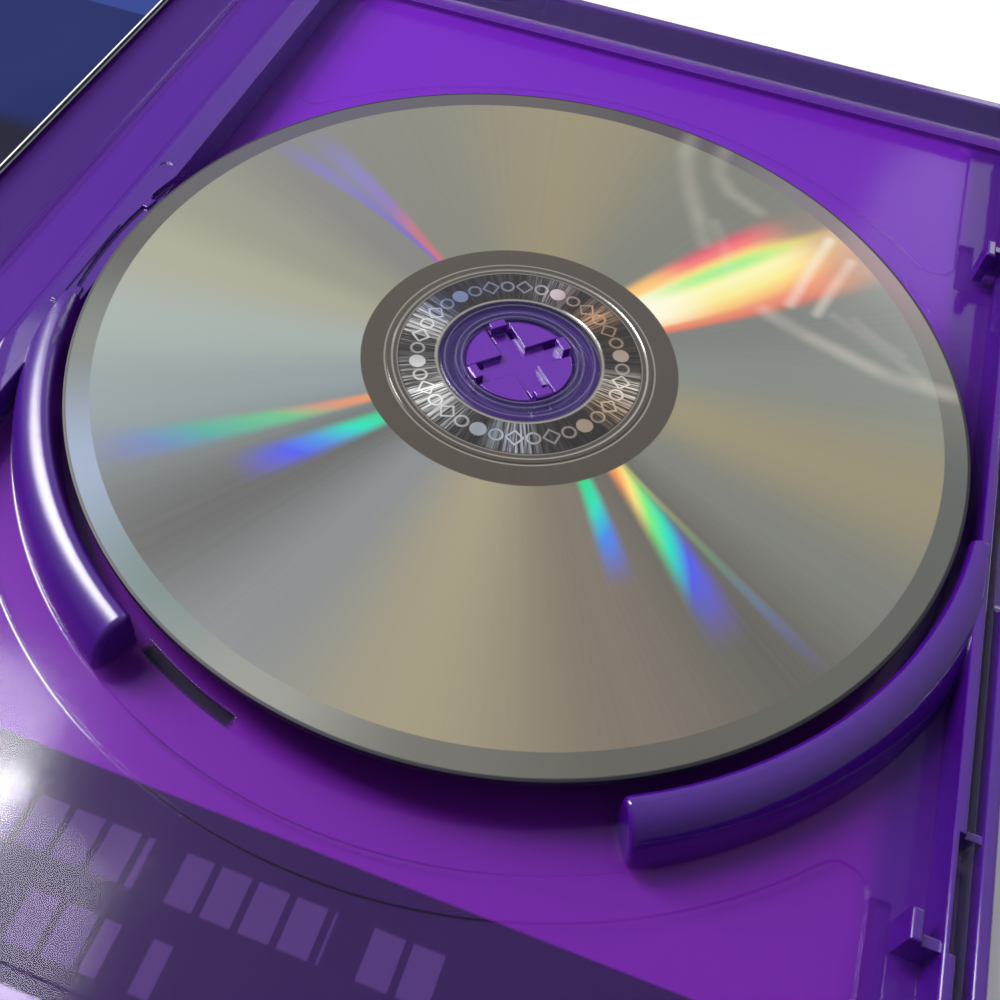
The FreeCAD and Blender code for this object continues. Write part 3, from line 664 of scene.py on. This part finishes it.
def insert_finish(settings):
    """Insert paper: plain fields of colour outside, a dark panel with plain bars inside, and painted shade
    under the tray's slot, along the long edges and under the front cover.
    """
    finish = surface_finish("insert_paper")
    spot = finish.place()
    x, y, z = finish.axes(spot)
    wide = x - DISC_CENTRE.x / MM
    deep = y - DISC_CENTRE.y / MM
    inside = z.rise(0.20, 0.22)
    panel = 1.0 - y.rise(-66.7, -66.3)
    bars = 0.0
    for low, high, right, pitch, offset, gap in BAR_ROWS:
        row = y.band(low, high, 0.2) * x.band(BARS_LEFT, right, 0.2)
        bars = row * ((x + offset) / pitch).maths("FRACT").band(gap, 1.0 - gap, 0.01) + bars
    bars = bars * (x / BAR_PITCH).maths("FRACT").band(0.10, 0.90, 0.02)
    field = finish.mix(y.rise(-60.0, 70.0), settings.field, settings.field_top)
    # Paper under the front cover painted darker as the booklet's shade; the spine's darker purple is print.
    inner = finish.mix(x.rise(-9.0, -5.0), shade(38, 7, 88), shade(70, 16, 132))
    inner = finish.mix(x.rise(6.0, 14.0), inner, field)
    # Shade painted along the paper's long edges, where the tray's walls and latch holes shadow it.
    inner = finish.mix(x.size().rise(127.5, 132.0), inner, shade(70, 14, 127))
    # Shadow of the finger slot painted dark on the paper beneath it.
    slot = ((wide * wide + deep * deep) ** 0.5).band(*SLOT_SHADE_REACH, 0.1)
    slot = slot * deep.maths("ARCTAN2", wide).band(*SLOT_SHADE_TURN, 0.01)
    inner = finish.mix(slot, inner, shade(21, 6, 41))
    inner = finish.mix(panel, inner, settings.panel)
    inner = finish.mix(bars * 0.30, inner, shade(127, 93, 171))
    outer = finish.mix(y.rise(60.0, 60.4), settings.outside, shade(96, 66, 168))
    outer = finish.mix(y.band(56.0, 59.0, 0.1), outer, shade(214, 210, 226))
    outer = finish.mix(y.band(-84.0, -70.0, 0.1), outer, shade(70, 66, 120))
    far = ((x.size() - RING_X) ** 2.0 + (y - RING_Y) ** 2.0) ** 0.5
    outer = finish.mix(far.band(30.0, 36.0, 0.15), outer, shade(132, 104, 196))
    outer = finish.mix(far.band(0.0, 22.0, 0.15), outer, shade(60, 54, 116))
    fibre = finish.noise(spot, 3.0, 4.0, 0.7)
    tone = finish.mix(0.02 * fibre, finish.mix(inside, outer, inner), shade(230, 230, 235))
    finish.put(Base_Color=tone, Roughness=0.42 + 0.1 * fibre, Specular_IOR_Level=0.08,
               Normal=finish.bump(fibre, 0.08, 0.02 * MM))
    return finish.material


def film_finish():
    """Clear sleeve film with faint haze and slight waves."""
    finish = surface_finish("clear_film")
    spot = finish.place()
    wave = finish.noise(spot, 0.03, 2.0)
    haze = finish.noise(spot, 0.4, 3.0)
    finish.put(Base_Color=(0.86, 0.86, 0.90, 1.0), Roughness=0.06 + 0.08 * haze, Alpha=0.10 + 0.06 * haze,
               IOR=1.49, Normal=finish.bump(wave, 0.25, 0.4 * MM))
    return finish.material


def steel_finish():
    """Bright steel wire of the staples."""
    finish = surface_finish("staple_wire")
    grain = finish.noise(finish.place(), 6.0, 2.0)
    finish.put(Base_Color=finish.mix(grain, shade(150, 150, 156), shade(205, 205, 210)), Metallic=1.0,
               Roughness=0.25 + 0.15 * grain)
    return finish.material


def new_piece(name, mesh_maker, materials, smooth=35.0):
    """Object made from a bmesh, smooth but for its sharp edges, with its place in its mesh."""
    mesh = bpy.data.meshes.new(name)
    shape = bmesh.new()
    mesh_maker(shape)
    shape.to_mesh(mesh)
    shape.free()
    for material in materials:
        mesh.materials.append(material)
    mesh.shade_smooth()
    mesh.set_sharp_from_angle(angle=math.radians(smooth))
    piece = bpy.data.objects.new(name, mesh)
    bpy.context.scene.collection.objects.link(piece)
    return piece


def dress(node, material):
    """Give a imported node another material."""
    mesh = frame["nodes"][node].data
    mesh.materials.clear()
    mesh.materials.append(material)


def slab(shape, low, high):
    """Box between two corners."""
    size = [b - a for a, b in zip(low, high)]
    middle = [(a + b) / 2 for a, b in zip(low, high)]
    place = Matrix.Translation(middle) @ Matrix.Diagonal((*size, 1.0))
    bmesh.ops.create_cube(shape, size=1.0, matrix=place)


def edges_along(shape, axis):
    """Edges of a box that run along one axis."""
    return [edge for edge in shape.edges if abs(edge.verts[0].co[axis] - edge.verts[1].co[axis]) > 1e-9]


class DISCCASE_OT_moulding(Operator):
    """Dress tray, spine and cover in the purple plastic"""

    bl_idname = "disc_case.moulding"
    bl_label = "Case moulding"

    def execute(self, context):
        plastic = case_plastic(context.scene.disc_case.moulding)
        for node in ("disc_tray", "spine_panel", "front_cover"):
            dress(node, plastic)
        return {"FINISHED"}


# Steps of the disc's upper side between the dark ring and the hole: radius, and height against the flat face,
# in millimetres.
RING_STEPS = [
    (18.1, 0.0), (17.95, 0.10), (17.7, STACK_RING / MM), (17.45, 0.10), (17.3, 0.0), (16.9, -0.05),
    (16.6, 0.0), (11.6, 0.0), (11.4, -0.10), (10.9, -0.10), (10.7, 0.0), (9.4, 0.0), (9.2, -0.06), (8.9, 0.0),
]
# Gap that keeps the disc's base clear of the hub's seat.
DISC_CLEAR = 0.03 * MM


class DISCCASE_OT_disc(Operator):
    """Turn the disc with its rim, ring steps and stacking ring"""

    bl_idname = "disc_case.disc"
    bl_label = "Disc"

    def execute(self, context):
        settings = context.scene.disc_case.disc
        base, top = DISC_LOW.z + DISC_CLEAR, DISC_TOP
        hole, rim = settings.hole, settings.radius
        groove = settings.data_in

        def turned(shape):
            outline = [
                (hole, base + 0.1 * MM), (hole + 0.1 * MM, base), (rim - 0.25 * MM, base),
                (rim, base + 0.25 * MM), (rim, top - 0.25 * MM), (rim - 0.07 * MM, top - 0.07 * MM),
                (rim - 0.25 * MM, top), (settings.metal_out, top), (settings.data_out, top), (40 * MM, top),
                (groove + 0.3 * MM, top), (groove, top - 0.03 * MM), (groove - 0.3 * MM, top),
            ]
            outline += [(radius * MM, top + height * MM) for radius, height in RING_STEPS]
            outline += [(hole + 0.15 * MM, top), (hole, top - 0.15 * MM)]
            corners = [shape.verts.new((DISC_CENTRE.x + radius, DISC_CENTRE.y, height))
                       for radius, height in outline]
            edges = [shape.edges.new(pair) for pair in zip(corners, corners[1:] + corners[:1])]
            bmesh.ops.spin(shape, geom=corners + edges, cent=DISC_CENTRE, axis=(0, 0, 1), angle=2 * math.pi,
                           steps=settings.steps, use_merge=True)
            bmesh.ops.remove_doubles(shape, verts=shape.verts, dist=1e-7)
            bmesh.ops.recalc_face_normals(shape, faces=shape.faces)

        disc = new_piece("optical_disc", turned, [disc_finish(settings)], 25.0)
        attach(disc, "tray")
        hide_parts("disc")
        return {"FINISHED"}


# Booklet: thickness of its cover, step from the cover to the pages, steps of the fold, thickness of a staple's
# wire, and a staple's place along the fold as a share of its length.
BOOKLET_SHEET = 0.22 * MM
PAGE_INSET = 0.5 * MM
FOLD_STEPS = 12
STAPLE_WIRE = 0.5 * MM
STAPLE_PLACE = 0.24


class DISCCASE_OT_booklet(Operator):
    """Fold the booklet's cover round its pages and put two staples in the fold"""

    bl_idname = "disc_case.booklet"
    bl_label = "Booklet"

    def execute(self, context):
        settings = context.scene.disc_case.paper
        low, high = BOOKLET_LOW, BOOKLET_HIGH
        sheet = BOOKLET_SHEET
        radius = (high.z - low.z) / 2

        def cover(shape):
            path = [(high.x, low.z + sheet / 2), (low.x + radius, low.z + sheet / 2)]
            for step in range(1, FOLD_STEPS):
                turn = math.pi * step / FOLD_STEPS
                path.append((low.x + radius - (radius - sheet / 2) * math.sin(turn),
                             low.z + radius - (radius - sheet / 2) * math.cos(turn)))
            path += [(low.x + radius, high.z - sheet / 2), (high.x, high.z - sheet / 2)]
            corners = [shape.verts.new((x, low.y, z)) for x, z in path]
            edges = [shape.edges.new(pair) for pair in zip(corners, corners[1:])]
            swept = bmesh.ops.extrude_edge_only(shape, edges=edges)["geom"]
            moved = [part for part in swept if isinstance(part, bmesh.types.BMVert)]
            bmesh.ops.translate(shape, verts=moved, vec=(0, high.y - low.y, 0))
            bmesh.ops.recalc_face_normals(shape, faces=shape.faces)
            bmesh.ops.solidify(shape, geom=shape.faces[:], thickness=sheet / 2)

        def pages(shape):
            slab(shape, (low.x + radius * 0.6, low.y + 0.2 * MM, low.z + sheet * 1.05),
                 (high.x - PAGE_INSET, high.y - 0.2 * MM, high.z - sheet * 1.05))
            bmesh.ops.subdivide_edges(shape, edges=edges_along(shape, 2), cuts=5, use_grid_fill=True)
            for corner in shape.verts:
                if corner.co.x > high.x - 1.5 * PAGE_INSET:
                    height = (corner.co.z - low.z) / (high.z - low.z)
                    corner.co.x += PAGE_INSET * (0.6 - 2.4 * (height - 0.5) ** 2)

        def wires(shape):
            for side in (-1, 1):
                middle = side * (high.y - low.y) * STAPLE_PLACE
                half_way = low.z + radius
                low_corner = (low.x + 0.02 * MM, middle - settings.staple / 2, half_way - STAPLE_WIRE / 2)
                high_corner = (low.x + 0.42 * MM, middle + settings.staple / 2, half_way + STAPLE_WIRE / 2)
                slab(shape, low_corner, high_corner)
            bmesh.ops.bevel(shape, geom=shape.edges[:], offset=0.12 * MM, offset_type="OFFSET",
                            affect="EDGES", segments=2, profile=0.5, material=-1)

        folded = new_piece("booklet_cover", cover, [booklet_finish(settings)])
        block = new_piece("booklet_pages", pages, [page_finish()])
        staples = new_piece("booklet_staples", wires, [steel_finish()])
        for piece in (folded, block, staples):
            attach(piece, "cover")
        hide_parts("booklet")
        return {"FINISHED"}


# Panels of the sleeve and the bodies that they ride on.
PANELS = [("rear", "tray"), ("spine", "spine"), ("front", "cover")]
PAPER_CLEAR = 0.015 * MM
# Hinge strips: half width and cuts across it.
STRIP_HALF = 1.1 * MM
STRIP_CUTS = 17


class DISCCASE_OT_sleeve(Operator):
    """Lay the paper, dress the film, and lay a strip of web, paper and film along each hinge"""

    bl_idname = "disc_case.sleeve"
    bl_label = "Insert, film and hinge strips"

    def execute(self, context):
        settings = context.scene.disc_case
        paper = insert_finish(settings.paper)
        film = film_finish()
        plastic = frame["nodes"]["disc_tray"].data.materials[0]
        for part, body in PANELS:
            dress(part + "_film", film)
            self.sheet(part, body, paper)
        hinges = {"rear": ("tray", "spine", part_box("spine_panel")[1].x, 1),
                  "front": ("cover", "spine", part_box("spine_panel")[0].x, -1)}
        # Material, slot, lower and upper face, and half length in millimetres.
        layers = {"film": (film, "clear_film", 0.02, 0.10, 94.4),
                  "paper": (paper, "insert_paper", 0.14, 0.28, 91.4),
                  "web": (plastic, "case_plastic", 0.34, 0.60, 94.9)}
        for hinge, (outer_body, inner_body, place, side) in hinges.items():
            for layer, (material, slot, low, high, reach) in layers.items():
                strip = self.strip(f"{hinge}_hinge_{layer}", material, place, low * MM, high * MM, reach * MM)
                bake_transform(strip)
        return {"FINISHED"}

    def sheet(self, part, body, paper):
        """Paper under one panel, a hair clear of the moulding, the film and the next panel's paper."""
        low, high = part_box(part + "_insert")
        gap = PAPER_CLEAR * Vector((1, 1, 1))

        def plate(shape):
            slab(shape, low + gap, high - gap)

        piece = new_piece(part + "_paper", plate, [paper])
        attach(piece, body)
        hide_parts(part + "_insert")

    def strip(self, name, material, place, low, high, reach):
        """Thin strip along a hinge, divided into narrow bands across its width."""

        def ribbon(shape):
            slab(shape, (place - STRIP_HALF, -reach, low), (place + STRIP_HALF, reach, high))
            bmesh.ops.subdivide_edges(shape, edges=edges_along(shape, 0), cuts=STRIP_CUTS, use_grid_fill=True)

        return new_piece(name, ribbon, [material])


# Lamps: place from the point under the disc's centre, width and depth in metres, and the name of its power.
LAMPS = {
    "key_light": ((-0.55, 0.10, 0.42), (0.28, 0.28), "key"),
    "window": ((0.30, 0.72, 0.45), (0.35, 0.24), "window"),
    "side_light": ((-0.36, 0.045, 0.49), (0.18, 0.21), "side"),
    "low_light": ((-0.22, -0.01, 0.49), (0.10, 0.10), "low"),
    "small_light": ((-0.257, 0.046, 0.48), (0.032, 0.032), "spark"),
}
BRIGHT_SIDE = (0.10, 0.99, 0.0)
ROOM_TINT = (0.95, 0.96, 1.0, 1.0)
FLOOR_HALF = 3.0
FLOOR_BELOW = 0.3 * MM
# Camera: turn, height and tilt in degrees, place from the middle of the disc's face, shift of the picture.
CAMERA_ANGLES = (16.03, 53.48, 5.27)
CAMERA_FROM_DISC = Vector((20.57, -105.32, 112.35)) * MM
CAMERA_SHIFT = (0.0617, -0.0075)


class DISCCASE_OT_stage(Operator):
    """Set the pale floor, the lights and the camera"""

    bl_idname = "disc_case.stage"
    bl_label = "Stage"

    def execute(self, context):
        settings = context.scene.disc_case.stage
        scene = context.scene
        scene.view_settings.view_transform = "Standard"
        finish = surface_finish("studio_floor")
        speck = finish.noise(finish.place(), 0.02, 2.0)
        finish.put(Base_Color=finish.mix(0.04 * speck, settings.floor, (0.7, 0.7, 0.72, 1.0)), Roughness=0.75)

        def ground(shape):
            bmesh.ops.create_grid(shape, x_segments=2, y_segments=2, size=FLOOR_HALF,
                                  matrix=Matrix.Translation((0, 0, -FLOOR_BELOW)))

        new_piece("studio_floor", ground, [finish.material])
        self.room(scene, settings)
        target = Vector((DISC_CENTRE.x, DISC_CENTRE.y, 0))
        for name, (offset, size, power) in LAMPS.items():
            self.lamp(name, target, Vector(offset), size, getattr(settings, power))
        self.camera(scene, settings)
        return {"FINISHED"}

    def room(self, scene, settings):
        """Soft light all round, brighter from behind the case than from the front."""
        world = bpy.data.worlds.new("studio_light")
        light = Finish(world, "Background")
        way = Value(light, light.node("ShaderNodeTexCoord").outputs["Generated"])
        height = light.axes(way)[2].part(0.0, 1.0)
        depth = light.vectors("DOT_PRODUCT", way, BRIGHT_SIDE, 1).part(-1.0, 1.0)
        strength = settings.level + (settings.above - settings.level) * height
        strength = strength * (settings.front + (1.0 - settings.front) * depth)
        light.put(Color=ROOM_TINT, Strength=strength)
        scene.world = world

    def lamp(self, name, target, offset, size, power):
        """Soft rectangular light that faces the case."""
        light = bpy.data.lights.new(name, "AREA")
        light.shape = "RECTANGLE"
        light.size, light.size_y = size
        light.energy = power
        lamp = bpy.data.objects.new(name, light)
        lamp.location = target + offset
        lamp.rotation_euler = offset.to_track_quat("Z", "Y").to_euler()
        bpy.context.scene.collection.objects.link(lamp)

    def camera(self, scene, settings):
        """Camera close over the disc, a little from the right, tilted to one side."""
        azimuth, elevation, roll = (math.radians(angle) for angle in CAMERA_ANGLES)
        back = Vector((math.sin(azimuth) * math.cos(elevation), -math.cos(azimuth) * math.cos(elevation),
                       math.sin(elevation)))
        level = Vector((math.cos(azimuth), math.sin(azimuth), 0))
        upward = back.cross(level)
        right = math.cos(roll) * level + math.sin(roll) * upward
        up = -math.sin(roll) * level + math.cos(roll) * upward
        lens = bpy.data.cameras.new("close_camera")
        lens.lens = settings.lens
        lens.sensor_width = 36.0
        lens.shift_x, lens.shift_y = CAMERA_SHIFT
        lens.clip_start = 5 * MM
        camera = bpy.data.objects.new("close_camera", lens)
        spot = Vector((DISC_CENTRE.x, DISC_CENTRE.y, DISC_TOP)) + CAMERA_FROM_DISC
        turned = Matrix((right, up, back)).transposed().to_4x4()
        camera.matrix_world = Matrix.Translation(spot) @ turned
        scene.collection.objects.link(camera)
        scene.camera = camera


class DISCCASE_PT_panel(Panel):
    """Sizes, colours and makers of the disc case"""

    bl_idname = "DISCCASE_PT_panel"
    bl_label = "Disc Case"
    bl_space_type = "VIEW_3D"
    bl_region_type = "UI"
    bl_category = "Disc Case"

    def draw(self, context):
        settings = context.scene.disc_case
        for maker in MAKERS:
            self.layout.operator(maker.bl_idname)
        for group in (settings.moulding, settings.disc, settings.paper, settings.stage):
            box = self.layout.box()
            for key in group.__annotations__:
                box.prop(group, key)


MAKERS = (DISCCASE_OT_moulding, DISCCASE_OT_disc, DISCCASE_OT_booklet, DISCCASE_OT_sleeve, DISCCASE_OT_stage)
GROUPS = (MouldingSettings, DiscSettings, PaperSettings, StageSettings, CaseSettings)
CLASSES = (*GROUPS, *MAKERS, DISCCASE_PT_panel)


def register():
    for item in CLASSES:
        bpy.utils.register_class(item)
    bpy.types.Scene.disc_case = PointerProperty(type=CaseSettings)


def unregister():
    del bpy.types.Scene.disc_case
    for item in reversed(CLASSES):
        bpy.utils.unregister_class(item)


def main():
    register()
    bpy.ops.disc_case.moulding()
    bpy.ops.disc_case.disc()
    bpy.ops.disc_case.booklet()
    bpy.ops.disc_case.sleeve()
    bpy.ops.disc_case.stage()


if __name__ == "__main__":
    main()
